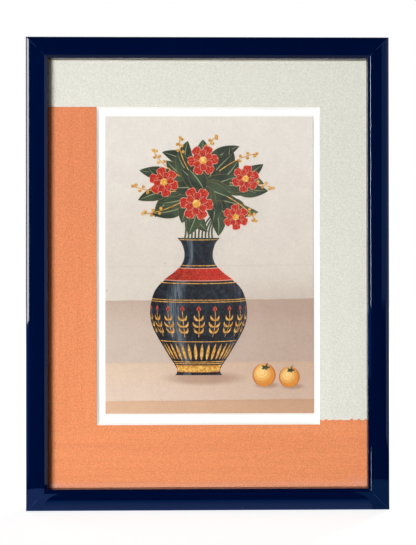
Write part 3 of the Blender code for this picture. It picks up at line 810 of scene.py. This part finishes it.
def soft_oval(place, x, z, half_wide, half_high):
    """A soft oval mask at a place of the picture."""
    middle = picture_place(x, z, 0)
    moved = wire("VectorMath", {0: place, 1: -middle}, operation="ADD").outputs[0]
    scales = (1 / (half_wide * PICTURE_UNIT), 0, 1 / (half_high * PICTURE_UNIT))
    sized = wire("VectorMath", {0: moved, 1: scales}, operation="MULTIPLY").outputs[0]
    reach = wire("VectorMath", {0: sized}, operation="LENGTH").outputs["Value"]
    return ease(reach, 0.35, 1.0, 1.0, 0.0)


ground_ink, shader, place = material_named("ink_ground")
parts = apart(place)
height = ease(parts["Z"], GROUND_FOOT.z, GROUND_HEAD.z, step="LINEAR")
waver = minus(height, 0.003)
height = times_add(clouds(place, 45.0, 3.0), 0.006, waver)
height = times_add(parts["X"], -0.03, height)
colour = blend(ease(height, 0.50, 0.95), 0xD9CEC4, 0xE0D8D1)
for head, upper, lower in GROUND_BANDS:
    band = blend(ease(height, head - 0.12, head), lower, upper)
    pooled = ease(height, head - 0.010, head - 0.001, 0.0, 0.10)
    band = blend(pooled, band, 0xA98A76)
    colour = blend(ease(height, head - 0.002, head + 0.002, 1.0, 0.0), colour, band)
rightward = ease(parts["X"], GROUND_FOOT.x - 0.02, GROUND_HEAD.x + 0.02)
deeper = ease(height, 0.33, 0.50, 1.0, 0.05)
side_shade = times(rightward, deeper)
colour = blend(side_shade, colour, (0.80, 0.72, 0.69, 1), "MULTIPLY")
for x, z, half_wide, half_high in (VASE_SHADOW, *FRUIT_SHADOWS):
    shadow = soft_oval(place, x, z, half_wide, half_high)
    colour = blend(times(shadow, 0.75), colour, (0.62, 0.50, 0.44, 1), "MULTIPLY")
spots = place_effect(specks, place, Scale=75.0, Share=0.10, Size=0.11)
colour = blend(times(spots[0], 0.5), colour, 0xB07F57)
washed_ink(shader, place, colour, 0.10, 620.0)

bpy.ops.mesh.primitive_grid_add(x_subdivisions=2, y_subdivisions=2, size=1, rotation=(math.pi / 2, 0, 0))
ground = bpy.context.object
ground.name = "picture_ground"
ground.scale = (GROUND_HEAD.x - GROUND_FOOT.x, PICTURE_HEIGHT, 1)
ground.location = picture_place(0, 500, 0)
bpy.ops.object.transform_apply()
apply_modifier(ground, "SOLIDIFY", thickness=INK_FILM, offset=-1)
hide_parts("print_wall", "print_dado", "print_table", "print_table_edge")
finish_piece(ground, "ink_wall", ground_ink)

# Vase: dark navy glaze in ink, pale where the light catches its left shoulder, with gold rings,
# upright gold leaves round its foot, sprigs round its belly and a red collar.
VASE_LAYER = 1
VASE_TRIM_LAYER = 2
VASE_LOW, VASE_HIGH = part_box("print_vase")
VASE_X = ((VASE_LOW.x + VASE_HIGH.x) / 2 - PICTURE_X) / PICTURE_UNIT
VASE_FOOT = (VASE_LOW.z - GROUND_FOOT.z) / PICTURE_UNIT
VASE_TOP = (VASE_HIGH.z - GROUND_FOOT.z) / PICTURE_UNIT
GIRTH = (VASE_HIGH.x - VASE_LOW.x) / 2 / PICTURE_UNIT
COLLAR = [(corner.z - GROUND_FOOT.z) / PICTURE_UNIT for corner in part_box("print_vase_collar")]
FOOT_BAND = [(corner.z - GROUND_FOOT.z) / PICTURE_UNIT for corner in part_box("print_vase_foot")]
vase_side = sorted({
    (
        round((vertex.co.z - GROUND_FOOT.z) / PICTURE_UNIT, 2),
        round(abs((vertex.co.x - PICTURE_X) / PICTURE_UNIT - VASE_X), 2),
    )
    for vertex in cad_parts["print_vase"].data.vertices
})


def vase_half_width(height):
    """How far the vase reaches to each side at a height in the picture."""
    for (low, inner), (high, outer) in zip(vase_side, vase_side[1:]):
        if low <= height <= high and high > low:
            return inner + (outer - inner) * (height - low) / (high - low)
    return vase_side[-1][1]


def curved(start, bend, end):
    """A line from start to end, drawn towards a third point."""
    start, bend, end = Vector(start), Vector(bend), Vector(end)
    return lambda share: start.lerp(bend, share).lerp(bend.lerp(end, share), share)


def painted_shape(name, spine, half_width, layer, across=4, along=12, lay=None):
    """A film of ink along a line; its UV map runs across it in u and along it in v."""
    bpy.ops.mesh.primitive_grid_add(x_subdivisions=across, y_subdivisions=along, size=1)
    piece = bpy.context.object
    piece.name = name
    for vertex in piece.data.vertices:
        share = vertex.co.y + 0.5
        ahead = spine(min(share + 0.01, 1)) - spine(max(share - 0.01, 0))
        sideways = Vector((ahead.y, -ahead.x)).normalized()
        x, z = spine(share) + sideways * (2 * vertex.co.x * half_width(share))
        if lay:
            x, z = lay(x, z)
        vertex.co = picture_place(x, z, layer)
    select_only(piece)
    edit()
    bpy.ops.mesh.remove_doubles(threshold=INK_FILM / 10)
    done()
    apply_modifier(piece, "SOLIDIFY", thickness=INK_FILM, offset=-1)
    return piece


def joined(name, pieces):
    """Several films of ink as one piece."""
    bpy.ops.object.select_all(action="DESELECT")
    for piece in pieces:
        piece.select_set(True)
    bpy.context.view_layer.objects.active = pieces[0]
    bpy.ops.object.join()
    pieces[0].name = name
    return pieces[0]


def round_width(radius):
    """The half width of a disc along its own height."""
    return lambda share: radius * math.sqrt(max(1 - (2 * share - 1) ** 2, 0))


def leaf_width(widest, belly=0.42):
    """The half width of a pointed leaf, widest a little before its middle."""
    return lambda share: widest * math.sin(math.pi * share ** (math.log(0.5) / math.log(belly))) ** 0.85


def round_the_vase(x, z):
    """Lay a flat pattern round the vase: x is measured along its widest turn."""
    turn = max(-math.pi / 2, min(math.pi / 2, x / GIRTH))
    dip = 0.045 * vase_half_width(z) * (1 - math.cos(turn))
    return VASE_X + (vase_half_width(z) - 1.5) * math.sin(turn), z + dip


def film_ways():
    """The UV map's ways: across the film, along it, and off its middle line."""
    parts = apart(wire("TexCoord").outputs["UV"])
    across, along = parts["X"], parts["Y"]
    return across, along, maths("ABSOLUTE", minus(across, 0.5))


navy_ink, shader, place = material_named("ink_navy")
across, along, off_line = film_ways()
mottle = clouds(place, 240.0, 5.0, 0.7)
colour = blend(ease(mottle, 0.40, 0.66), 0x17181F, 0x2A3440)
colour = blend(ease(clouds(place, 70.0, 2.0), 0.45, 0.7, 0.0, 0.6), colour, 0x251A1F)
drawn_down = stretched(place, (1, 1, 0.08))
dry_brush = ease(clouds(drawn_down, 900.0, 3.0, 0.6), 0.42, 0.62)
light_line = times(ease(across, 0.12, 0.24), ease(across, 0.25, 0.38, 1.0, 0.0))
light_line = times(light_line, times_add(dry_brush, 0.45, 0.15))
colour = blend(light_line, colour, 0x7E8B98)
far_light = ease(across, 0.86, 0.96, 0.0, 0.35)
colour = blend(times(far_light, dry_brush), colour, 0x5A5F6E)
rim = ease(off_line, 0.485, 0.5, 0.0, 0.8)
colour = blend(rim, colour, 0x0D0B0E)
washed_ink(shader, place, colour, 0.30, 1500.0)

gold_ink, shader, place = material_named("ink_gold")
across, along, off_line = film_ways()
patches = clouds(place, 520.0, 4.0, 0.65)
colour = blend(ease(patches, 0.36, 0.66), 0xB97D2E, 0xF2C368)
colour = blend(ease(off_line, 0.34, 0.5, 0.0, 0.65), colour, 0x9A4F20)
washed_ink(shader, place, colour, 0.25, 1700.0)

red_ink, shader, place = material_named("ink_red")
across, along, off_line = film_ways()
colour = blend(ease(along, 0.10, 0.75), 0x7F0D12, 0xB8181C)
colour = blend(ease(clouds(place, 300.0, 3.0), 0.4, 0.7), colour, 0xC32A20)
fold = ease(off_line, 0.0, 0.07, 0.55, 0.0)
colour = blend(fold, colour, 0x6A0A10)
flakes = ease(clouds(place, 1350.0, 2.0, 0.6), 0.56, 0.64, 0.0, 0.7)
colour = blend(flakes, colour, 0xDE8A4A)
rim = maths("MAXIMUM", ease(off_line, 0.43, 0.48), ease(along, 0.93, 0.975))
colour = blend(times(rim, 0.85), colour, 0xF0B9A4)
washed_ink(shader, place, colour, 0.20, 1700.0)

vase = painted_shape(
    "vase", curved((VASE_X, VASE_FOOT), (VASE_X, (VASE_FOOT + VASE_TOP) / 2), (VASE_X, VASE_TOP)),
    lambda share: vase_half_width(VASE_FOOT + (VASE_TOP - VASE_FOOT) * share), VASE_LAYER, 10, 64,
)
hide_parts("print_vase")
finish_piece(vase, "ink_navy", navy_ink)


def ring(name, low, high):
    """A band painted round the vase, dipping a little in front."""
    middle = (low + high) / 2
    quarter = GIRTH * math.pi / 2
    spine = curved((-quarter, middle), (0, middle), (quarter, middle))
    return painted_shape(name, spine, lambda share: (high - low) / 2, VASE_TRIM_LAYER, 2, 48, round_the_vase)


collar = ring("vase_collar", *COLLAR)
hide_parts("print_vase_collar")
finish_piece(collar, "ink_red", red_ink)
foot_band = ring("vase_foot_band", *FOOT_BAND)
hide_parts("print_vase_foot")
finish_piece(foot_band, "ink_gold", gold_ink)

GOLD_RINGS = (38, 44, 112, 245, 252, 308, 368, 455)
GOLD_RING_HALF = 1.3
FOOT_LEAVES = 16
BELLY_SPRIGS = 9
gold_trim = [
    ring("gold_ring", VASE_FOOT + rise - GOLD_RING_HALF, VASE_FOOT + rise + GOLD_RING_HALF)
    for rise in GOLD_RINGS
]
red_trim = []
for step in range(FOOT_LEAVES):
    x = GIRTH * math.pi * ((step + 0.5) / FOOT_LEAVES - 0.5)
    spine = curved((x, VASE_FOOT + 50), (x, VASE_FOOT + 75), (x, VASE_FOOT + 106))
    gold_trim.append(painted_shape("foot_leaf", spine, leaf_width(9), VASE_TRIM_LAYER, 4, 10, round_the_vase))
for step in range(BELLY_SPRIGS):
    x = GIRTH * math.pi * ((step + 0.5) / BELLY_SPRIGS - 0.5)
    foot = VASE_FOOT + 128
    stem = curved((x, foot), (x + 5, foot + 40), (x, foot + 88))
    gold_trim.append(
        painted_shape("sprig_stem", stem, lambda share: 1.4, VASE_TRIM_LAYER, 2, 12, round_the_vase)
    )
    for side in (-1, 1):
        for rise, reach in ((14, 17), (34, 20), (56, 15)):
            tip = x + side * reach
            spine = curved((x + 2, foot + rise), (tip, foot + rise), (tip, foot + rise + 18))
            gold_trim.append(
                painted_shape("sprig_leaf", spine, leaf_width(4.2), VASE_TRIM_LAYER + 1, 2, 8, round_the_vase)
            )
    bud = curved((x, foot + 86), (x, foot + 94), (x, foot + 104))
    red_trim.append(painted_shape("sprig_bud", bud, leaf_width(7), VASE_TRIM_LAYER + 1, 4, 8, round_the_vase))
finish_piece(joined("vase_gold_trim", gold_trim), "ink_gold", gold_ink)
finish_piece(joined("vase_red_buds", red_trim), "ink_red", red_ink)

# Spray: dark leaves in three rings, in ink, with their stems and with gold berry sprigs over them.
# Leaves that cross lie in different layers of ink, and no two neighbours share one.
STEM_LAYER = 4
LEAF_LAYER = 5
SPRAY_LOW, SPRAY_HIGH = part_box("print_leaves")
SPRAY_MIDDLE = Vector((
    ((SPRAY_LOW.x + SPRAY_HIGH.x) / 2 - PICTURE_X) / PICTURE_UNIT,
    ((SPRAY_LOW.z + SPRAY_HIGH.z) / 2 - GROUND_FOOT.z) / PICTURE_UNIT,
))
SPRAY_REACH = Vector((SPRAY_HIGH.x - SPRAY_LOW.x, SPRAY_HIGH.z - SPRAY_LOW.z)) / 2 / PICTURE_UNIT
LEAF_RINGS = (
    (18, 0.46, 1.00, 25, 0.0, 3),
    (16, 0.22, 0.80, 28, 0.5, 4),
    (12, -0.06, 0.55, 30, 0.2, 12),
)
SPRIG_LAYER = LEAF_LAYER + sum(ring_layers for *shape, ring_layers in LEAF_RINGS)
SPRIG_TURNS = (8, 47, 88, 128, 236, 268, 312, 338)
BERRIES = 6

leaf_ink, shader, place = material_named("ink_leaf")
across, along, off_line = film_ways()
colour = blend(ease(clouds(place, 42.0, 1.0), 0.38, 0.62), 0x1E2926, 0x3D4B38)
colour = blend(ease(across, 0.48, 0.52, 0.0, 0.35), colour, 0x111816)
slant = times_add(off_line, -2.4, along)
vein = maths("SINE", times(slant, 44.0))
colour = blend(ease(vein, 0.75, 0.98, 0.0, 0.40), colour, 0x7C8A63)
colour = blend(ease(off_line, 0.015, 0.05, 0.75, 0.0), colour, 0x9CA67A)
colour = blend(ease(off_line, 0.43, 0.49, 0.0, 0.45), colour, 0x8F7A45)
washed_ink(shader, place, colour, 0.25, 1500.0)


def spray_place(turn, share):
    """A place in the spray: a turn from upright in degrees, and a share of its reach."""
    angle = math.radians(turn)
    return SPRAY_MIDDLE + Vector((math.sin(angle) * SPRAY_REACH.x, math.cos(angle) * SPRAY_REACH.y)) * share


leaves = []
ring_layer = LEAF_LAYER
for ring_number, (count, inner, outer, widest, phase, ring_layers) in enumerate(LEAF_RINGS):
    for step in range(count):
        turn = 360 * (step + phase) / count + 9 * math.sin(step * 2.4 + ring_number)
        reach = outer - 0.11 * (0.5 + 0.5 * math.sin(step * 3.7 + 2 * ring_number))
        sweep = 16 * math.sin(step * 1.9 + ring_number)
        spine = curved(
            spray_place(turn - sweep, inner), spray_place(turn - sweep * 0.4, (inner + reach) / 2),
            spray_place(turn + sweep * 0.5, reach),
        )
        layer = ring_layer + step % ring_layers
        leaves.append(painted_shape("leaf", spine, leaf_width(widest), layer, 4, 12))
    ring_layer += ring_layers
spray_leaves = joined("spray_leaves", leaves)
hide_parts("print_leaves")
finish_piece(spray_leaves, "ink_leaf", leaf_ink)

stems = []
for step in range(9):
    share = step / 8 * 2 - 1
    foot = (VASE_X + 48 * share, VASE_TOP - 6)
    head = spray_place(180 - 70 * share, 0.60 - 0.2 * abs(share))
    bend = (VASE_X + 30 * share, VASE_TOP + 45)
    stems.append(painted_shape("stem", curved(foot, bend, head), lambda along: 3.0, STEM_LAYER, 2, 12))
finish_piece(joined("spray_stems", stems), "ink_leaf", leaf_ink)

berries = []
for turn in SPRIG_TURNS:
    spine = curved(spray_place(turn - 10, 0.4), spray_place(turn - 6, 0.8), spray_place(turn + 3, 1.03))
    berries.append(painted_shape("sprig", spine, lambda share: 1.5, SPRIG_LAYER, 2, 12))
    for number in range(BERRIES):
        share = 0.5 + 0.5 * number / (BERRIES - 1)
        x, z = spine(share)
        side = 0 if number == BERRIES - 1 else (-1) ** number
        x += 8 * side * math.cos(math.radians(turn))
        z -= 8 * side * math.sin(math.radians(turn))
        disc = curved((x, z - 5.5), (x, z), (x, z + 5.5))
        berries.append(painted_shape("berry", disc, round_width(5.5), SPRIG_LAYER + 1, 4, 8))
finish_piece(joined("berry_sprigs", berries), "ink_gold", gold_ink)

# Blossoms: five red flowers, each of six outer and six inner petals, with a gold middle that is
# stippled with stamens.
PETAL_LAYER = SPRIG_LAYER + 2
BLOSSOM_COUNT = 5
PETALS = 6

centre_ink, shader, place = material_named("ink_gold_centre")
across, along, off_line = film_ways()
stipple = place_effect(specks, place, Scale=900.0, Share=0.75, Size=0.55)
colour = blend(ease(clouds(place, 500.0, 3.0), 0.4, 0.65), 0xD9982F, 0xF6CE7A)
colour = blend(times(stipple[0], 0.8), colour, 0x7A3414)
washed_ink(shader, place, colour, 0.2, 1700.0)


def round_spot(node):
    """A round CAD node's middle and radius, in the picture's units."""
    low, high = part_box(node)
    middle = Vector(((low.x + high.x) / 2 - PICTURE_X, (low.z + high.z) / 2 - GROUND_FOOT.z))
    return middle / PICTURE_UNIT, (high.z - low.z) / 2 / PICTURE_UNIT


def painted_disc(name, middle, radius, layer, across, along):
    """A round film of ink."""
    up = Vector((0, radius))
    spine = curved(middle - up, middle, middle + up)
    return painted_shape(name, spine, round_width(radius), layer, across, along)


def petal_width(radius):
    """A petal's half width: narrow at the flower's middle, broad and blunt at its end."""
    return lambda share: radius * 0.42 * (0.25 + 0.75 * share) * (1 - share**7) ** 0.5


for number in range(1, BLOSSOM_COUNT + 1):
    middle, radius = round_spot(f"print_blossom_{number}")
    petals = []
    for whorl, (reach, turned) in enumerate(((1.0, 0), (0.68, 30))):
        for step in range(PETALS):
            angle = math.radians(60 * step + turned + 23 * number)
            outward = Vector((math.sin(angle), math.cos(angle)))
            sideways = Vector((outward.y, -outward.x)) * radius * 0.06
            spine = curved(
                middle + outward * radius * 0.08, middle + outward * radius * reach * 0.5 + sideways,
                middle + outward * radius * reach,
            )
            layer = PETAL_LAYER + 2 * whorl + step % 2
            petals.append(painted_shape("petal", spine, petal_width(radius * reach), layer, 6, 12))
    blossom = joined(f"blossom_{number}", petals)
    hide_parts(f"print_blossom_{number}")
    finish_piece(blossom, "ink_red", red_ink)
    heart = painted_disc(f"blossom_centre_{number}", middle, radius * 0.24, PETAL_LAYER + 4, 8, 12)
    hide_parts(f"print_blossom_centre_{number}")
    finish_piece(heart, "ink_gold", centre_ink)

# Fruit: two round golden fruits that lie on the table, in the same inks as the rest. Each is drawn
# with fine contour lines, a dark calyx and a short stalk.
FRUIT_LAYER = 1
FRUIT_COUNT = 2

fruit_ink, shader, place = material_named("ink_gold_fruit")
across, along, off_line = film_ways()
right_of = minus(across, 0.40)
over = minus(along, 0.62)
reach = maths("SQRT", maths("ADD", times(right_of, right_of), times(over, over)))
colour = blend(ease(reach, 0.05, 0.55), 0xFBD68A, 0xD98C33)
contour = maths("SINE", times_add(clouds(place, 160.0, 1.0), 3.0, times(reach, 46.0)))
colour = blend(ease(contour, 0.55, 0.98, 0.0, 0.55), colour, 0xE0842E)
colour = blend(ease(off_line, 0.40, 0.5, 0.0, 0.7), colour, 0xA8402A)
washed_ink(shader, place, colour, 0.2, 1700.0)

calyx = []
for number in range(1, FRUIT_COUNT + 1):
    middle, radius = round_spot(f"print_fruit_{number}")
    layer = FRUIT_LAYER + 2 * (number - 1)
    fruit = painted_disc(f"fruit_{number}", middle, radius, layer, 12, 24)
    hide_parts(f"print_fruit_{number}")
    finish_piece(fruit, "ink_gold", fruit_ink)
    crown = middle + Vector((radius * 0.12, radius * 0.66))
    for step in range(5):
        angle = math.radians(72 * step + 20)
        tip = crown + Vector((math.sin(angle) * radius * 0.42, math.cos(angle) * radius * 0.26))
        calyx.append(
            painted_shape("sepal", curved(crown, (crown + tip) / 2, tip), leaf_width(radius * 0.10), 5, 2, 6)
        )
    stalk = curved(crown, crown + Vector((2, 9)), crown + Vector((7, 15)))
    calyx.append(painted_shape("stalk", stalk, lambda share: 1.6, 6, 2, 6))
finish_piece(joined("fruit_calyxes", calyx), "ink_leaf", leaf_ink)

# Backing board: one sheet of 3 mm fibreboard, sawn to size. It closes the back and presses the stack
# against the glass.
SAWN_EDGE = 0.0003
fibreboard, shader, place = material_named("fibreboard")
broad = clouds(place, 26.0, 3.0)
colour = blend(broad, 0x86653F, 0x9C794E)
fibre = clouds(stretched(place, (1, 1, 0.22)), 1500.0, 2.0)
other_fibre = clouds(stretched(place, (0.22, 1, 1)), 1300.0, 2.0)
flecks = maths("MAXIMUM", ease(fibre, 0.62, 0.72), ease(other_fibre, 0.62, 0.72))
colour = blend(times(flecks, 0.5), colour, 0x5F452B)
pale_flecks = ease(clouds(place, 2100.0, 2.0), 0.64, 0.74, 0.0, 0.5)
colour = blend(pale_flecks, colour, 0xC4A377)
scuffs = ease(clouds(stretched(place, (9, 1, 60)), 1.0, 4.0, 0.6), 0.60, 0.72, 0.0, 0.22)
colour = blend(scuffs, colour, 0xC9AF88)
relief = maths("ADD", fibre, other_fibre)
coat(shader, colour, ease(broad, 0.2, 0.8, 0.88, 0.70), relief, 0.00005)
board = seamed_block("backing_panel", "backing_board", SAWN_EDGE)
finish_piece(board, "fibreboard", fibreboard)

# Framer's tabs and V-nails: stamped strip steel, zinc plated. The tabs are driven into the rebate's
# wall over the backing board, and the V-nails across each mitre from the back.
STAMPED_EDGE = 0.00006

# Worn metal: fine scratches, a cloudy plating and dark tarnish in patches
worn_metal, given, result = new_effect(
    "worn_metal",
    [("Bright", "Color", (1, 1, 1, 1)), ("Dull", "Color", (0, 0, 0, 1)),
     ("Tarnish", "Float", 0.5)],
    [("Color", "Color"), ("Roughness", "Float"), ("Height", "Float")],
)
plating = clouds(given[0], 260.0, 4.0, 0.6)
scratch = clouds(stretched(given[0], (300, 3000, 3000)), 1.0, 2.0, 0.7)
tarnish = ease(clouds(given[0], 120.0, 4.0, 0.7), 0.50, 0.72)
tarnish = times(tarnish, given[3])
dulled = times_add(ease(plating, 0.4, 0.7), 0.35, tarnish)
roughness = times_add(dulled, 0.28, ease(scratch, 0.3, 0.7, 0.24, 0.38))
put_out(result, blend(dulled, given[1], given[2]), roughness, scratch)


def plated(name, bright, dull, tarnish):
    """Plated steel, with its metal grain and tarnish."""
    material, shader, place = material_named(name)
    metal = place_effect(worn_metal, place, Bright=shade(bright), Dull=shade(dull), Tarnish=tarnish)
    shader.inputs["Metallic"].default_value = 1.0
    coat(shader, *metal, 0.00001)
    return material


def softened_copy(node, name, width, slot_name, material):
    """A copy of a CAD node with its sharp edges broken, finished."""
    piece = merged_copy(node, name)
    apply_modifier(
        piece, "BEVEL", width=width, segments=2, limit_method="ANGLE", angle_limit=SMOOTH_ANGLE
    )
    bpy.ops.object.shade_smooth_by_angle(angle=SMOOTH_ANGLE)
    finish_piece(piece, slot_name, material)
    return piece


zinc = plated("steel", 0xB9BCC0, 0x6E6F70, 0.6)
for node in [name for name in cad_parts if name.startswith("framers_tab_")]:
    softened_copy(node, node.replace("framers_tab", "steel_tab"), STAMPED_EDGE, "steel", zinc)
for node in [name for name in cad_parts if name.startswith("v_nail_")]:
    softened_copy(node, node.replace("v_nail", "mitre_nail"), STAMPED_EDGE, "steel", zinc)

# Sawtooth hanger: a brass-plated steel strip, its middle pressed proud and its lower edge cut in
# teeth, nailed to the top rail with two round-headed nails.
HANGER_EDGE = 0.00012
NAIL_EDGE = 0.0002
brass_plate = plated("brassed_steel", 0xC9A25A, 0x7E5E2C, 0.7)
softened_copy("sawtooth_hanger", "toothed_hanger", HANGER_EDGE, "brassed_steel", brass_plate)
for side in ("left", "right"):
    softened_copy(f"hanger_nail_{side}", f"round_head_nail_{side}", NAIL_EDGE, "brassed_steel", brass_plate)

# Bumpers: two discs of pressed dark felt. They are stuck to the back of the bottom rail, and keep it
# off the wall.
FELT_EDGE = 0.0005
felt, shader, place = material_named("felt")
matted = clouds(place, 900.0, 5.0, 0.75)
colour = blend(ease(matted, 0.35, 0.65), 0x29292C, 0x4A4A4E)
stray = ease(clouds(stretched(place, (1, 1, 0.15)), 2600.0, 2.0), 0.64, 0.72, 0.0, 0.6)
colour = blend(stray, colour, 0x7D7D80)
shader.inputs["Specular IOR Level"].default_value = 0.2
coat(shader, colour, ease(matted, 0.3, 0.7, 0.98, 0.88), matted, 0.00020)
for side in ("left", "right"):
    softened_copy(f"wall_bumper_{side}", f"felt_bumper_{side}", FELT_EDGE, "felt", felt)
